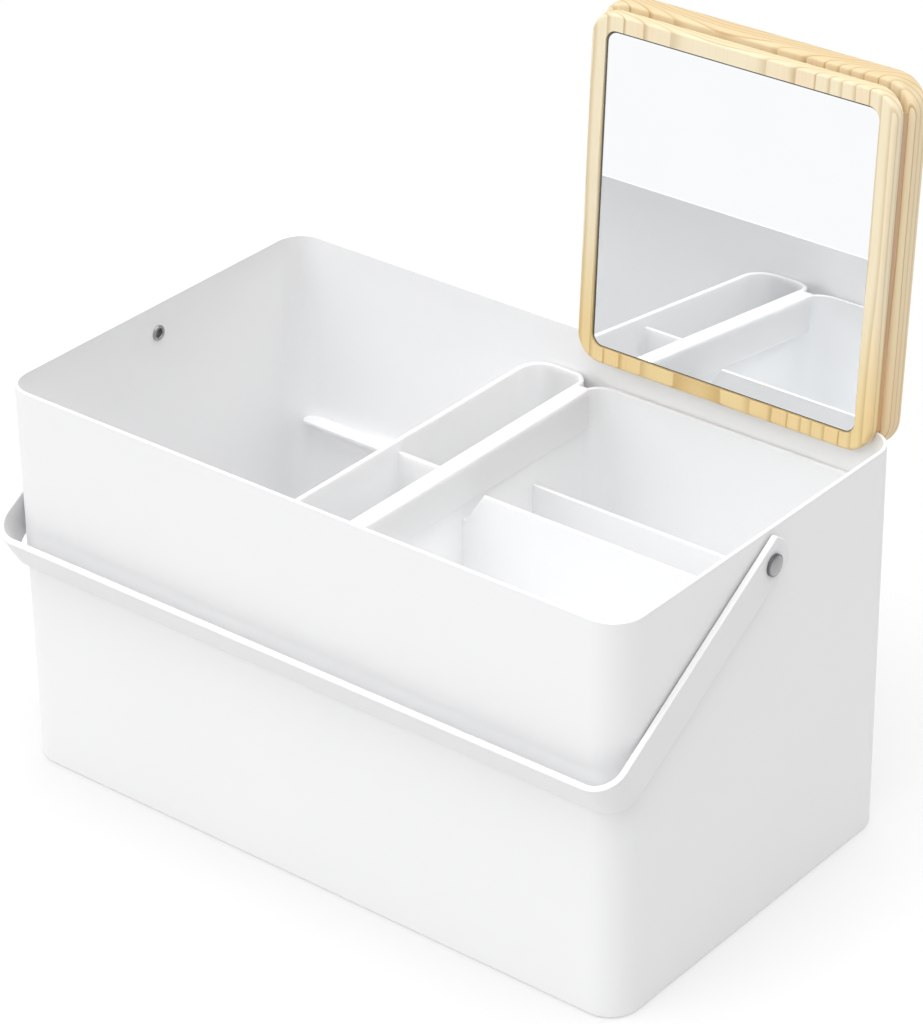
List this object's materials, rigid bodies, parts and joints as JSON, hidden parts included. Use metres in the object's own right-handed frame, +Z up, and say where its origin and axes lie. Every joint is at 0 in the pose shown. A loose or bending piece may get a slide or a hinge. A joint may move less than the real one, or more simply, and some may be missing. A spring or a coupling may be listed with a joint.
{
  "type": "vanity box",
  "caption": "Open steel vanity box with a swinging flat handle, two hooked plastic trays and a wooden lid that stands on the rear wall and carries a mirror.",
  "frame": {"origin": "centre of the underside of the box's base", "axes": "+X to the user's right along the box's length, +Y to the rear wall that carries the lid, +Z up"},
  "size_m": [0.311, 0.206, 0.3087],
  "materials": {
    "painted_steel": "satin white powder coat",
    "steel": "plain steel",
    "washer": "white nylon",
    "tray_plastic": "satin white moulding",
    "pine": "sanded pale pine",
    "spacer_wood": "sanded darker wood",
    "mirror": "silvered glass",
    "pad": "thin adhesive foam"
  },
  "bodies": {
    "box": {"box_wall": "painted_steel", "box_base": "painted_steel", "front_ledge": "painted_steel", "rear_ledge": "painted_steel", "left_rivet": "steel", "right_rivet": "steel", "left_washer": "washer", "right_washer": "washer"},
    "handle": {"handle": "painted_steel"},
    "trays": {"wide_tray": "tray_plastic", "narrow_tray": "tray_plastic"},
    "lid": {"lid_slab": "pine", "left_spacer": "spacer_wood", "right_spacer": "spacer_wood", "mirror_plate": "pine", "mirror_glass": "mirror", "mirror_pad": "pad"}
  },
  "joints": [
    {"name": "handle_swing", "type": "hinge", "parent": "box", "child": "handle", "pos_m": [0, 0, 0.1573], "axis": [-1, 0, 0], "range_deg": [0, 150]},
    {"name": "tray_slide", "type": "slide", "parent": "box", "child": "trays", "axis": [-1, 0, 0], "range_m": [0, 0.12]},
    {"name": "lid_lift", "type": "slide", "parent": "box", "child": "lid", "axis": [0, 0, 1], "range_m": [0, 0.12]}
  ]
}
